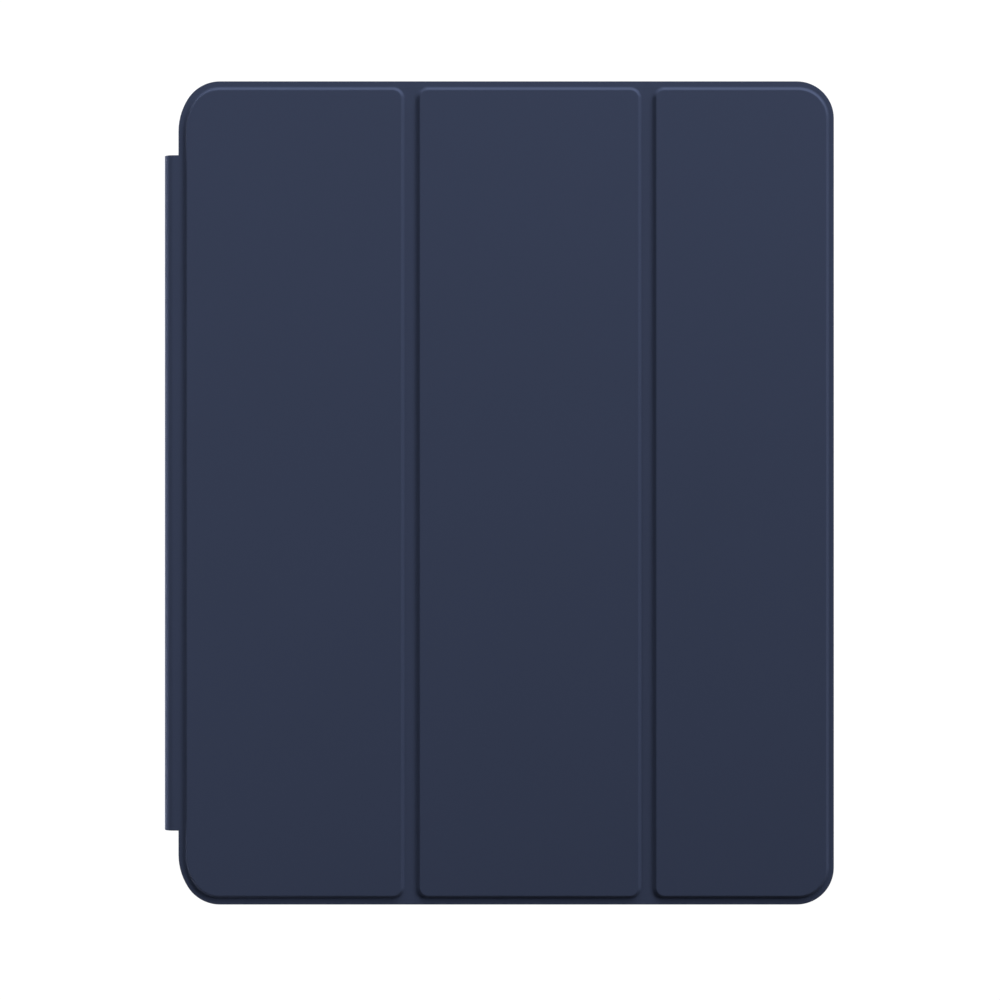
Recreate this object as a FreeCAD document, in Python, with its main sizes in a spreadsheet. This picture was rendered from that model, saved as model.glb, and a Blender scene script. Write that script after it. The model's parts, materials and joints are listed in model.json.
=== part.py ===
"""Magnetic folding folio for a tablet: a back panel, a soft round spine and a front cover of three
stiff panels joined by two folds. Millimetres. +Z up, lying on its back, +X from the spine to the free
edge, +Y towards the end with the camera window, origin under the middle of the closed folio.

Every sub-part is drawn with X measured from the cover's hinge-side edge and moved by its Placement.
"""
import os
import re

import FreeCAD
import Part
import Sketcher

X_AXIS = FreeCAD.Vector(1, 0, 0)
Z_AXIS = FreeCAD.Vector(0, 0, 1)
ORIGIN = (-1, 1)  # Sketcher's own number and point for a sketch's origin
TOLERANCE = 1e-6
EDGE_REACH = 1e-4  # how far off its level an edge may measure
QUARTER_TURN = 1.5707963267948966

# ---- Driving dimensions ------------------------------------------------------------------------

DIMENSIONS = {
    # outline of the front cover and of the back panel
    "cover_width": 224.5,
    "cover_height": 282.0,
    "free_corner_radius": 12.7,
    # a hinge-side corner is two arcs: one off the end, one off the side
    "hinge_corner_end_radius": 13.0,
    "hinge_corner_side_radius": 20.6,
    "hinge_corner_setback": 14.2,
    # the soft round spine
    "spine_bulge": 5.05,
    "spine_length": 231.4,
    "bend_radius": 3.3,
    # layers, from the outside in
    "skin_thickness": 0.5,
    "board_thickness": 1.0,
    "film_thickness": 0.15,
    "lining_thickness": 0.45,
    "bay_height": 6.6,
    # the flat border of bonded skin and lining round the boards
    "hinge_rim": 1.65,
    "free_rim": 1.4,
    "end_rim": 1.75,
    # panels and folds of the front cover, from the hinge to the free edge
    "panel_one_width": 76.1,
    "fold_one_width": 3.6,
    "panel_two_width": 77.5,
    "fold_two_width": 3.4,
    "fold_lip": 0.3,
    "panel_corner_radius": 4.2,
    # the skin round a board, and the slope and rounding at the edge of a raised face
    "skin_wall": 1.3,
    "edge_slope": 1.1,
    "edge_rounding": 0.5,
    "board_gap": 0.05,
    # holding magnets of the back panel
    "magnet_width": 8.0,
    "magnet_length": 20.0,
    "magnet_gap": 0.05,
    "magnet_inset": 20.0,
    "magnet_end_inset": 30.0,
    "magnet_window_space": 16.0,
    # latch magnets and sleep magnet of the third panel
    "latch_width": 5.0,
    "latch_length": 16.0,
    "latch_inset": 3.0,
    "latch_end_inset": 38.0,
    "sleep_width": 4.0,
    "sleep_length": 9.0,
    "sleep_inset": 14.0,
    "sleep_offset": 62.0,
    # steel strip of the first panel
    "strip_width": 9.0,
    "strip_thickness": 0.5,
    "strip_inset": 4.0,
    "strip_end_inset": 24.0,
    # camera window of the back panel
    "window_size": 32.0,
    "window_corner_radius": 8.5,
    "window_edge": 9.0,
    "window_rim": 1.3,
}

MAGNET_ROWS = 6
LATCH_COUNT = 5

# ---- Values worked out from the driving dimensions ----------------------------------------------

DERIVED = {
    "hinge_edge": "(-(cover_width - spine_bulge) / 2)",
    "half_height": "(cover_height / 2)",
    "half_spine": "(spine_length / 2)",
    "board_rise": "(board_thickness + film_thickness)",
    "rim_thickness": "(skin_thickness + lining_thickness)",
    "back_rim_level": "board_rise",
    "back_lining_level": "(skin_thickness + board_rise)",
    "bay_floor": "(back_lining_level + lining_thickness)",
    "bay_roof": "(bay_floor + bay_height)",
    "front_film_level": "(bay_roof + lining_thickness)",
    "front_board_level": "(front_film_level + film_thickness)",
    "front_rim_level": "(front_film_level + skin_thickness)",
    "bend_start": "(bend_radius - spine_bulge)",
    "spine_low": "(back_rim_level + bend_radius)",
    "spine_high": "(front_rim_level - bend_radius)",
    "panel_one_left": "hinge_rim",
    "panel_one_right": "(panel_one_left + panel_one_width)",
    "panel_two_left": "(panel_one_right + fold_one_width)",
    "panel_two_right": "(panel_two_left + panel_two_width)",
    "panel_three_left": "(panel_two_right + fold_two_width)",
    "panel_three_right": "(cover_width - free_rim)",
    "half_panel": "(half_height - end_rim)",
    "board_inset": "(skin_wall + board_gap)",
    "window_right": "(cover_width - window_edge)",
    "window_left": "(window_right - window_size)",
    "window_high": "(half_height - window_edge)",
    "window_low": "(window_high - window_size)",
}

doc = FreeCAD.newDocument("Folio")


def write_sheet():
    """The sheet of driving dimensions, one named cell each."""
    sheet = doc.addObject("Spreadsheet::Sheet", "Dimensions")
    for row, (name, value) in enumerate(DIMENSIONS.items(), start=1):
        sheet.set(f"A{row}", name)
        sheet.set(f"B{row}", str(value))
        sheet.setAlias(f"B{row}", name)
    doc.recompute()
    return sheet


sheet = write_sheet()


def formula(text):
    """A formula of named sizes, with worked-out values written out and cells named by the sheet."""
    def written_out(match):
        name = match.group(0)
        if name in DERIVED:
            return formula(DERIVED[name])
        return f"Dimensions.{name}" if name in DIMENSIONS else name
    return re.sub(r"[a-z][a-z_]*", written_out, text)


def measure(text):
    """The present value of a formula of named sizes."""
    return float(sheet.evalExpression(formula(text)))


def bind(target, path, text):
    """Ties a property of an object to a formula of named sizes."""
    target.setExpression(path, formula(text))


# ---- Sketches -------------------------------------------------------------------------------------


def add_sketch(body, name, plane="XY_Plane", level=None):
    """An empty sketch on one of its body's own planes, raised to a level where one is given."""
    sketch = body.newObject("Sketcher::SketchObject", name)
    planes = [feature for feature in body.Origin.OriginFeatures if feature.Role == plane]
    sketch.AttachmentSupport = (planes[0], "")
    sketch.MapMode = "FlatFace"
    if level:
        bind(sketch, "AttachmentOffset.Base.z", level)
    return sketch


def add_size(sketch, kind, references, name, text):
    """A named, driven size in a sketch."""
    index = sketch.addConstraint(Sketcher.Constraint(kind, *references, measure(text)))
    sketch.renameConstraint(index, name)
    bind(sketch, f"Constraints.{name}", text)


def place_side(sketch, kind, point, name, text):
    """Holds a point at a signed distance from the sketch's origin."""
    value = measure(text)
    if abs(value) < TOLERANCE:
        axis = -2 if kind == "DistanceX" else -1
        sketch.addConstraint(Sketcher.Constraint("PointOnObject", *point, axis))
    elif value > 0:
        add_size(sketch, kind, (*ORIGIN, *point), name, text)
    else:
        add_size(sketch, kind, (*point, *ORIGIN), name, f"-({text})")


def arc(centre, radius, start, end):
    """An arc of a circle in the sketch plane, from one angle to another in quarter turns."""
    circle = Part.Circle(FreeCAD.Vector(*centre, 0), Z_AXIS, radius)
    return Part.ArcOfCircle(circle, start * QUARTER_TURN, end * QUARTER_TURN)


def line(start, end):
    return Part.LineSegment(FreeCAD.Vector(*start, 0), FreeCAD.Vector(*end, 0))


def corner_arcs(corner, x, y, across, along, quadrant):
    """The arcs of one corner, anticlockwise, with the points where they leave the two straight sides.

    across and along are the signs of the directions from the corner into the outline. A corner is a
    radius, or an end radius, a side radius and a setback.
    """
    if corner is None:
        return [], (x, y), (x, y)
    if isinstance(corner, str):
        radius = measure(corner)
        centre = (x + across * radius, y + along * radius)
        arcs = [arc(centre, radius, quadrant, quadrant + 1)]
        return arcs, (x + across * radius, y), (x, y + along * radius)
    end_radius, side_radius, setback = (measure(text) for text in corner)
    end_x = x + across * setback
    side_x = x + across * side_radius
    spread = abs(side_x - end_x)
    rise = ((side_radius - end_radius) ** 2 - spread**2) ** 0.5
    end_y = y + along * end_radius
    side_y = end_y + along * rise
    turn = abs(FreeCAD.Vector(spread, rise, 0).getAngle(X_AXIS)) / QUARTER_TURN
    if quadrant == 1:
        arcs = [arc((end_x, end_y), end_radius, 1, 2 - turn),
                arc((side_x, side_y), side_radius, 2 - turn, 2)]
    else:
        arcs = [arc((side_x, side_y), side_radius, 2, 2 + turn),
                arc((end_x, end_y), end_radius, 2 + turn, 3)]
    return arcs, (end_x, y), (x, side_y)


def draw_plate(sketch, left, right, low, high, left_corner=None, right_corner=None, tag=""):
    """A four-sided outline with square, round or two-arc corners, drawn anticlockwise and sized."""
    x0, x1, y0, y1 = (measure(text) for text in (left, right, low, high))
    low_left, bottom_start, left_end = corner_arcs(left_corner, x0, y0, 1, 1, 2)
    low_right, bottom_end, right_start = corner_arcs(right_corner, x1, y0, -1, 1, 3)
    high_right, top_start, right_end = corner_arcs(right_corner, x1, y1, -1, -1, 0)
    high_left, top_end, left_start = corner_arcs(left_corner, x0, y1, 1, -1, 1)
    pieces = [line(bottom_start, bottom_end), *low_right, line(right_start, right_end), *high_right,
              line(top_start, top_end), *high_left, line(left_start, left_end), *low_left]
    first = sketch.addGeometry(pieces)[0]
    count = len(pieces)
    corners = len(low_right)
    bottom = first
    right_side = first + 1 + corners
    top = right_side + 1 + corners
    left_side = top + 1 + len(high_left)
    straight = {bottom, right_side, top, left_side}
    for step in range(count):
        here = first + step
        after = first + (step + 1) % count
        kind = "Coincident" if here in straight and after in straight else "Tangent"
        sketch.addConstraint(Sketcher.Constraint(kind, here, 2, after, 1))
    for side in (bottom, top):
        sketch.addConstraint(Sketcher.Constraint("Horizontal", side))
    for side in (right_side, left_side):
        sketch.addConstraint(Sketcher.Constraint("Vertical", side))
    place_side(sketch, "DistanceX", (left_side, 1), f"left{tag}", left)
    place_side(sketch, "DistanceX", (right_side, 1), f"right{tag}", right)
    place_side(sketch, "DistanceY", (bottom, 1), f"low{tag}", low)
    place_side(sketch, "DistanceY", (top, 1), f"high{tag}", high)
    size_corners(sketch, right_corner, [bottom + 1], [right_side + 1], None, f"right{tag}")
    high_arcs = list(range(top + 1, left_side))
    low_arcs = list(range(left_side + 1, first + count))
    size_corners(sketch, left_corner, low_arcs[::-1], high_arcs, (bottom, top, left_side), f"left{tag}")


def size_corners(sketch, corner, low_arcs, high_arcs, sides, name):
    """Sizes the arcs of the low and the high corner on one side, each list from the end inwards."""
    if corner is None:
        return
    if isinstance(corner, str):
        add_size(sketch, "Radius", (low_arcs[0],), f"{name}_low_radius", corner)
        add_size(sketch, "Radius", (high_arcs[0],), f"{name}_high_radius", corner)
        return
    end_radius, side_radius, setback = corner
    bottom, top, side = sides
    for part, arcs, point in (("low", low_arcs, (bottom, 1)), ("high", high_arcs, (top, 2))):
        add_size(sketch, "Radius", (arcs[0],), f"{name}_{part}_end_radius", end_radius)
        add_size(sketch, "Radius", (arcs[1],), f"{name}_{part}_side_radius", side_radius)
        add_size(sketch, "DistanceX", (side, 1, *point), f"{name}_{part}_setback", setback)


# ---- Bodies ---------------------------------------------------------------------------------------


def add_body(label, level, turned=False):
    """A body placed at the hinge-side edge and at a level, turned over about X for the back."""
    body = doc.addObject("PartDesign::Body", label)
    body.Label = label
    if turned:
        body.Placement = FreeCAD.Placement(FreeCAD.Vector(), FreeCAD.Rotation(X_AXIS, 180))
    bind(body, "Placement.Base.x", "hinge_edge")
    bind(body, "Placement.Base.z", level)
    return body


def add_pad(body, sketch, name, length):
    pad = body.newObject("PartDesign::Pad", name)
    pad.Profile = sketch
    bind(pad, "Length", length)
    doc.recompute()
    return pad


def add_pocket(body, sketch, name, length):
    """Cuts upwards from a sketch that lies under the material, and makes sure that it cuts."""
    before = body.Shape.Volume
    pocket = body.newObject("PartDesign::Pocket", name)
    pocket.Profile = sketch
    pocket.Reversed = True
    bind(pocket, "Length", length)
    doc.recompute()
    if not body.Shape.Volume < before - TOLERANCE:
        raise RuntimeError(f"{body.Label}: {name} cuts nothing")
    return pocket


def edges_at(feature, level):
    """The names of a feature's edges that lie wholly at a level."""
    height = measure(level)
    names = []
    for number, edge in enumerate(feature.Shape.Edges, start=1):
        box = edge.BoundBox
        if abs(box.ZMin - height) < EDGE_REACH and abs(box.ZMax - height) < EDGE_REACH:
            names.append(f"Edge{number}")
    return names


def slope_edges(body, face, level):
    """Slopes the sides of a raised face and rounds the edge where each slope meets its top."""
    slope = body.newObject("PartDesign::Chamfer", "EdgeSlope")
    slope.Base = (face, edges_at(face, level))
    bind(slope, "Size", "edge_slope")
    doc.recompute()
    rounding = body.newObject("PartDesign::Fillet", "EdgeRounding")
    rounding.Base = (slope, edges_at(slope, level))
    bind(rounding, "Radius", "edge_rounding")
    doc.recompute()
    return rounding


HINGE_CORNER = ("hinge_corner_end_radius", "hinge_corner_side_radius", "hinge_corner_setback")


def inset_hinge_corner(side_inset, end_inset):
    """The two-arc corner of an outline that lies inside the cover's by these insets."""
    end_radius, side_radius, setback = HINGE_CORNER
    return (f"({end_radius} - {end_inset})", f"({side_radius} - {side_inset})",
            f"({setback} - {side_inset})")


def inset_corners(panel, inset):
    """The corners of a panel's raised face, drawn in by an inset."""
    fold_corner = f"(panel_corner_radius - {inset})"
    free_corner = f"(free_corner_radius - end_rim - {inset})"
    hinge_corner = inset_hinge_corner(f"hinge_rim - {inset}", f"end_rim - {inset}")
    left = hinge_corner if panel in ("one", "whole") else fold_corner
    right = free_corner if panel in ("three", "whole") else fold_corner
    return left, right


# Each panel: its raised face's two sides, then the skin's two edges and their corners.
PANELS = {
    "one": ("panel_one_left", "panel_one_right",
            "0", "(panel_one_right + fold_lip)", HINGE_CORNER, None),
    "two": ("panel_two_left", "panel_two_right",
            "(panel_two_left - fold_lip)", "(panel_two_right + fold_lip)", None, None),
    "three": ("panel_three_left", "panel_three_right",
              "(panel_three_left - fold_lip)", "cover_width", None, "free_corner_radius"),
    "whole": ("panel_one_left", "panel_three_right",
              "0", "cover_width", HINGE_CORNER, "free_corner_radius"),
}


def draw_face(sketch, panel, inset="0"):
    """A panel's raised face, or an outline that lies inside it by an inset."""
    left, right = PANELS[panel][:2]
    left_corner, right_corner = inset_corners(panel, inset)
    draw_plate(sketch, f"({left} + {inset})", f"({right} - {inset})",
               f"-(half_panel - {inset})", f"(half_panel - {inset})", left_corner, right_corner)


def draw_sheet(sketch, panel):
    """The full outline of a panel's skin or lining, out to the cover's edge and to the fold lips."""
    left, right, left_corner, right_corner = PANELS[panel][2:]
    draw_plate(sketch, left, right, "-half_height", "half_height", left_corner, right_corner)


def draw_window(sketch, turned, grow="0"):
    """The camera window, or an outline that lies outside it by a growth."""
    low, high = f"(window_low - {grow})", f"(window_high + {grow})"
    if turned:
        low, high = f"-{high}", f"-{low}"
    radius = f"(window_corner_radius + {grow})"
    draw_plate(sketch, f"(window_left - {grow})", f"(window_right + {grow})", low, high,
               radius, radius, tag="_window")


def add_tab(body, thickness):
    """The flat strip between the cover's hinge-side edge and the start of the spine's bend."""
    sketch = add_sketch(body, "TabSketch")
    draw_plate(sketch, "bend_start", "hinge_rim", "-half_spine", "half_spine")
    add_pad(body, sketch, "Tab", thickness)


def add_skin(label, panel, level, turned=False):
    """Outer skin: a flat border, a raised face with rounded edges, and a hollow for the board."""
    body = add_body(label, level, turned)
    border = add_sketch(body, "BorderSketch")
    draw_sheet(border, panel)
    if turned:
        draw_window(border, turned)
    add_pad(body, border, "Border", "skin_thickness")
    if panel in ("one", "whole"):
        add_tab(body, "skin_thickness")
    face = add_sketch(body, "FaceSketch")
    draw_face(face, panel)
    if turned:
        draw_window(face, turned, "window_rim")
    raised = add_pad(body, face, "Face", "(board_rise + skin_thickness)")
    slope_edges(body, raised, "(board_rise + skin_thickness)")
    hollow = add_sketch(body, "HollowSketch")
    draw_face(hollow, panel, "skin_wall")
    if turned:
        draw_window(hollow, turned, "(window_rim + skin_wall)")
    add_pocket(body, hollow, "Hollow", "board_rise")
    return body


def add_board(label, panel, level, thickness, window=False):
    """A board or film that fills the hollow of its skin, less the gap round it."""
    body = add_body(label, level)
    sketch = add_sketch(body, "Outline")
    draw_face(sketch, panel, "board_inset")
    if window:
        draw_window(sketch, False, "(window_rim + board_inset)")
    add_pad(body, sketch, "Sheet", thickness)
    return body


def add_lining(label, panel, level, window=False):
    """The flat lining behind a panel, as large as its skin."""
    body = add_body(label, level)
    sketch = add_sketch(body, "Outline")
    draw_sheet(sketch, panel)
    if window:
        draw_window(sketch, False)
    add_pad(body, sketch, "Sheet", "lining_thickness")
    if panel in ("one", "whole"):
        add_tab(body, "lining_thickness")
    return body


def add_strip(label, left, right, low, high, level, thickness):
    """A flat strip of constant thickness."""
    body = add_body(label, level)
    sketch = add_sketch(body, "Outline")
    draw_plate(sketch, left, right, low, high)
    add_pad(body, sketch, "Sheet", thickness)
    return body


def add_bend(label, upper, outer, inner):
    """A quarter-round shell as long as the spine, from the flat of a cover to the upright spine."""
    level = "front_rim_level" if upper else "back_rim_level"
    body = add_body(label, level)
    sketch = add_sketch(body, "Section", "XZ_Plane")
    outer_radius, inner_radius, start = measure(outer), measure(inner), measure("bend_start")
    up = -1 if upper else 1
    height = up * measure("bend_radius")
    quadrants = (1, 2) if upper else (2, 3)
    pieces = [
        arc((start, height), outer_radius, *quadrants),
        arc((start, height), inner_radius, *quadrants),
        line((start, height - up * outer_radius), (start, height - up * inner_radius)),
        line((start - outer_radius, height), (start - inner_radius, height)),
    ]
    outside, inside, flat_end, spine_end = sketch.addGeometry(pieces)
    # an arc runs anticlockwise, so its start is at the flat cover on the upper bend only
    at_flat, at_spine = (1, 2) if upper else (2, 1)
    for edge, end, point in ((flat_end, outside, 1), (flat_end, inside, 2)):
        sketch.addConstraint(Sketcher.Constraint("Coincident", edge, point, end, at_flat))
    for edge, end, point in ((spine_end, outside, 1), (spine_end, inside, 2)):
        sketch.addConstraint(Sketcher.Constraint("Coincident", edge, point, end, at_spine))
    sketch.addConstraint(Sketcher.Constraint("Coincident", outside, 3, inside, 3))
    sketch.addConstraint(Sketcher.Constraint("Vertical", flat_end))
    sketch.addConstraint(Sketcher.Constraint("Horizontal", spine_end))
    sketch.addConstraint(Sketcher.Constraint("Vertical", outside, 3, flat_end, 1))
    sketch.addConstraint(Sketcher.Constraint("Horizontal", outside, 3, spine_end, 1))
    add_size(sketch, "Radius", (outside,), "outer", outer)
    add_size(sketch, "Radius", (inside,), "inner", inner)
    place_side(sketch, "DistanceX", (outside, 3), "across", "bend_start")
    place_side(sketch, "DistanceY", (outside, 3), "up", "-bend_radius" if upper else "bend_radius")
    pad = body.newObject("PartDesign::Pad", "Shell")
    pad.Profile = sketch
    pad.Midplane = True
    bind(pad, "Length", "spine_length")
    return body


def cut_pockets(body, name, rectangles, depth):
    """Cuts rectangular pockets for inserts up from the underside of a board."""
    sketch = add_sketch(body, f"{name}Sketch")
    for number, (left, low, width, length) in enumerate(rectangles):
        draw_plate(sketch, f"({left} - magnet_gap)", f"({left} + {width} + magnet_gap)",
                   f"({low} - magnet_gap)", f"({low} + {length} + magnet_gap)", tag=f"_{number}")
    add_pocket(body, sketch, name, depth)


def add_block(label, rectangle, level, thickness):
    """One rectangular insert, placed like the rectangle of its pocket."""
    left, low, width, length = rectangle
    block = doc.addObject("Part::Box", label)
    block.Label = label
    bind(block, "Length", width)
    bind(block, "Width", length)
    bind(block, "Height", thickness)
    bind(block, "Placement.Base.x", f"(hinge_edge + {left})")
    bind(block, "Placement.Base.y", low)
    bind(block, "Placement.Base.z", level)
    return block


def add_blocks(label, rectangles, level, thickness):
    """A group of equal inserts as one sub-part of separate solids."""
    blocks = [add_block(f"{label}_{number}", rectangle, level, thickness)
              for number, rectangle in enumerate(rectangles, start=1)]
    group = doc.addObject("Part::Compound", label)
    group.Label = label
    group.Links = blocks
    return group


# ---- Where the inserts lie: left side, low side, width, length ------------------------------------


def back_magnet_places():
    """Two columns of holding magnets, from near one end up to the camera window."""
    first = "(magnet_end_inset - half_height)"
    last = "(window_low - window_rim - magnet_window_space - magnet_length)"
    pitch = f"(({last} - {first}) / {MAGNET_ROWS - 1})"
    columns = ("(hinge_rim + magnet_inset)", "(cover_width - free_rim - magnet_inset - magnet_width)")
    return [(left, f"({first} + {row} * {pitch})", "magnet_width", "magnet_length")
            for left in columns for row in range(MAGNET_ROWS)]


def latch_magnet_places():
    """A row of latch magnets beside the free edge."""
    left = "(cover_width - free_rim - board_inset - latch_inset - latch_width)"
    first = "(latch_end_inset - half_height)"
    pitch = f"((cover_height - 2 * latch_end_inset - latch_length) / {LATCH_COUNT - 1})"
    return [(left, f"({first} + {row} * {pitch})", "latch_width", "latch_length")
            for row in range(LATCH_COUNT)]


def sleep_magnet_place():
    """The magnet that the tablet's sleep sensor reads, further in than the latch row."""
    return ("(cover_width - free_rim - board_inset - sleep_inset - sleep_width)",
            "(half_height - sleep_offset)", "sleep_width", "sleep_length")


def steel_strip_place():
    """The strip that the latch magnets hold to when the cover stands as a triangle."""
    return ("(panel_one_left + board_inset + strip_inset)", "(strip_end_inset - half_height)",
            "strip_width", "(cover_height - 2 * strip_end_inset)")


# ---- Assembly -------------------------------------------------------------------------------------


def build_back():
    magnets = back_magnet_places()
    board_level = "skin_thickness"
    board = add_board("back_board", "whole", board_level, "board_thickness", window=True)
    cut_pockets(board, "MagnetPockets", magnets, "board_thickness")
    film_level = "(skin_thickness + board_thickness)"
    return [
        add_skin("back_skin", "whole", "back_lining_level", turned=True),
        board,
        add_blocks("back_magnets", magnets, board_level, "board_thickness"),
        add_board("back_film", "whole", film_level, "film_thickness", window=True),
        add_lining("back_lining", "whole", "back_lining_level", window=True),
    ]


def build_spine():
    spine_height = "(spine_high - spine_low)"
    skin_edges = ("-spine_bulge", "(skin_thickness - spine_bulge)")
    lining_edges = ("(skin_thickness - spine_bulge)", "(rim_thickness - spine_bulge)")
    skin_radii = ("bend_radius", "(bend_radius - skin_thickness)")
    lining_radii = ("(bend_radius - skin_thickness)", "(bend_radius - rim_thickness)")
    ends = ("-half_spine", "half_spine")
    return [
        add_strip("spine_skin", *skin_edges, *ends, "spine_low", spine_height),
        add_strip("spine_lining", *lining_edges, *ends, "spine_low", spine_height),
        add_bend("back_bend_skin", False, *skin_radii),
        add_bend("back_bend_lining", False, *lining_radii),
        add_bend("cover_bend_skin", True, *skin_radii),
        add_bend("cover_bend_lining", True, *lining_radii),
    ]


def build_panel(number, panel):
    """The layers of one front panel: skin, board, film and lining, with what the board holds."""
    board = add_board(f"panel_{number}_board", panel, "front_board_level", "board_thickness")
    pieces = [
        add_skin(f"panel_{number}_skin", panel, "front_film_level"),
        board,
        add_board(f"panel_{number}_film", panel, "front_film_level", "film_thickness"),
        add_lining(f"panel_{number}_lining", panel, "bay_roof"),
    ]
    if panel == "one":
        place = steel_strip_place()
        cut_pockets(board, "StripPocket", [place], "strip_thickness")
        pieces.append(add_block("panel_1_steel_strip", place, "front_board_level", "strip_thickness"))
    if panel == "three":
        latches, sleep = latch_magnet_places(), sleep_magnet_place()
        cut_pockets(board, "MagnetPockets", [*latches, sleep], "board_thickness")
        pieces.append(add_blocks("panel_3_latch_magnets", latches, "front_board_level",
                                 "board_thickness"))
        pieces.append(add_block("panel_3_sleep_magnet", sleep, "front_board_level",
                                "board_thickness"))
    return pieces


def build_fold(number, before, after):
    """The soft strip of skin and lining between two panels."""
    edges = (f"(panel_{before}_right + fold_lip)", f"(panel_{after}_left - fold_lip)")
    ends = ("-half_height", "half_height")
    return [
        add_strip(f"fold_{number}_skin", *edges, *ends, "front_film_level", "skin_thickness"),
        add_strip(f"fold_{number}_lining", *edges, *ends, "bay_roof", "lining_thickness"),
    ]


def build_all():
    pieces = build_back() + build_spine()
    for number, panel in enumerate(("one", "two", "three"), start=1):
        pieces += build_panel(number, panel)
    pieces += build_fold(1, "one", "two")
    pieces += build_fold(2, "two", "three")
    return pieces


def check_document():
    """Stops on any feature that failed, because recomputing doesn't raise."""
    for item in doc.Objects:
        if any(word in item.State for word in ("Invalid", "Error")):
            raise RuntimeError(f"{item.Name} failed: {item.State}")


def export_pieces(pieces):
    os.makedirs("parts", exist_ok=True)
    for piece in pieces:
        if piece.Shape.isNull() or not piece.Shape.isValid() or not piece.Shape.Solids:
            raise RuntimeError(f"{piece.Label} has no valid solid")
    for piece in pieces:
        piece.Shape.exportStep(os.path.join("parts", f"{piece.Label}.step"))
        print(f"{piece.Label}: {len(piece.Shape.Solids)} solid(s), {piece.Shape.Volume:.1f} mm3")


pieces = build_all()
doc.recompute()
check_document()
export_pieces(pieces)
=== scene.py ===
import json
import math

import bmesh
import bpy
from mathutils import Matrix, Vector

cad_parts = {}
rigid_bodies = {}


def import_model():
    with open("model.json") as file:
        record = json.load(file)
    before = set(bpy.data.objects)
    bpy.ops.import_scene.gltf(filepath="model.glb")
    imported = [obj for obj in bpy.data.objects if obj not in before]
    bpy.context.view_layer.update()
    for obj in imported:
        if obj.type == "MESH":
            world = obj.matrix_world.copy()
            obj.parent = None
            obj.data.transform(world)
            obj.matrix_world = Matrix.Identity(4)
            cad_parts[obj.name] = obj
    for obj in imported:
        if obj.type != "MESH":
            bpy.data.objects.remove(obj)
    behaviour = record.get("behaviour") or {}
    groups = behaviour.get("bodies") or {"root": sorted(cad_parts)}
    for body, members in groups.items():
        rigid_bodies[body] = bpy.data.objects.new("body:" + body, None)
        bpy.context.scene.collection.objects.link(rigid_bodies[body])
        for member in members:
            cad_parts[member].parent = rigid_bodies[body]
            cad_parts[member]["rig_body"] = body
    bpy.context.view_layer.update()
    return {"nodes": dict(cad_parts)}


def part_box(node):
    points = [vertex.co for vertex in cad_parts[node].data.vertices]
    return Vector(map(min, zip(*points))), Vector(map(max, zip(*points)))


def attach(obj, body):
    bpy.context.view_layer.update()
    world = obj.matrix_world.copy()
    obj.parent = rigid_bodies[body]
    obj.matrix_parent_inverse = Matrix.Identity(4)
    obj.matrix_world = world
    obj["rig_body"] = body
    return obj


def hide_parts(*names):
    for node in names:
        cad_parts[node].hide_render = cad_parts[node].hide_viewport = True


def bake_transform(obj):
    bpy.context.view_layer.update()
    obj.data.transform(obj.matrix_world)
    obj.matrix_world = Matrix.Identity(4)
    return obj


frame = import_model()
mm = 0.001
samePlace = 1e-6  # metres; two places closer than this are one
print("frame loaded:", len(frame["nodes"]), "nodes")


# camera and room

# places and sizes are in mm, and nearest and farthest are where the view is cut off, in metres
camera = {"place": (0.415, -2.42, 859.65), "lens": 89.34, "sensor": 36.0, "nearest": 0.01, "farthest": 20.0}

# the glow makes the floor white, and the colour is only what it throws back at the object
stage = {
    "floorSize": 6000.0,
    "floorDrop": 0.05,
    "floorColour": "#3C3C3C",
    "floorRoughness": 0.9,
    "floorGlow": 1.0,
}

# three softboxes at the far end and on the right, a fill on the left, and a strip that edges the spine
lights = {
    "end softbox": {"place": (-256, 1365, 284), "aim": (0, 0, 0), "size": (788, 763), "watts": 14.7},
    "corner softbox": {"place": (417, 1096, 286), "aim": (0, 0, 0), "size": (714, 1006), "watts": 24.4},
    "side softbox": {"place": (1547, 786, 971), "aim": (0, 0, 0), "size": (1404, 617), "watts": 33.4},
    "left fill": {"place": (-380, -30, 300), "aim": (0, 0, 0), "size": (500, 60), "watts": 0.7},
    "spine strip": {"place": (-135, 0, 1.5), "aim": (-128, 0, 12), "size": (500, 4), "watts": 0.2},
}
ambientLight = 0.01


def linearColour(code):
    # an sRGB hex value as the linear colour that shaders take
    channels = [int(code[start:start + 2], 16) / 255 for start in (1, 3, 5)]
    return [c / 12.92 if c <= 0.04045 else ((c + 0.055) / 1.055) ** 2.4 for c in channels] + [1.0]


def addNode(tree, kind, settings=None, links=None):
    # settings holds properties and socket values, links holds what each socket is fed from
    node = tree.nodes.new(kind)
    for name, value in (settings or {}).items():
        if isinstance(name, str) and hasattr(node, name):
            setattr(node, name, value)
        else:
            node.inputs[name].default_value = value
    for name, source in (links or {}).items():
        tree.links.new(source, node.inputs[name])
    return node


def makeCamera():
    data = bpy.data.cameras.new("camera")
    data.lens = camera["lens"]
    data.sensor_width = camera["sensor"]
    data.clip_start = camera["nearest"]
    data.clip_end = camera["farthest"]
    made = bpy.data.objects.new("camera", data)
    made.location = Vector(camera["place"]) * mm
    bpy.context.scene.collection.objects.link(made)
    bpy.context.scene.camera = made


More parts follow.
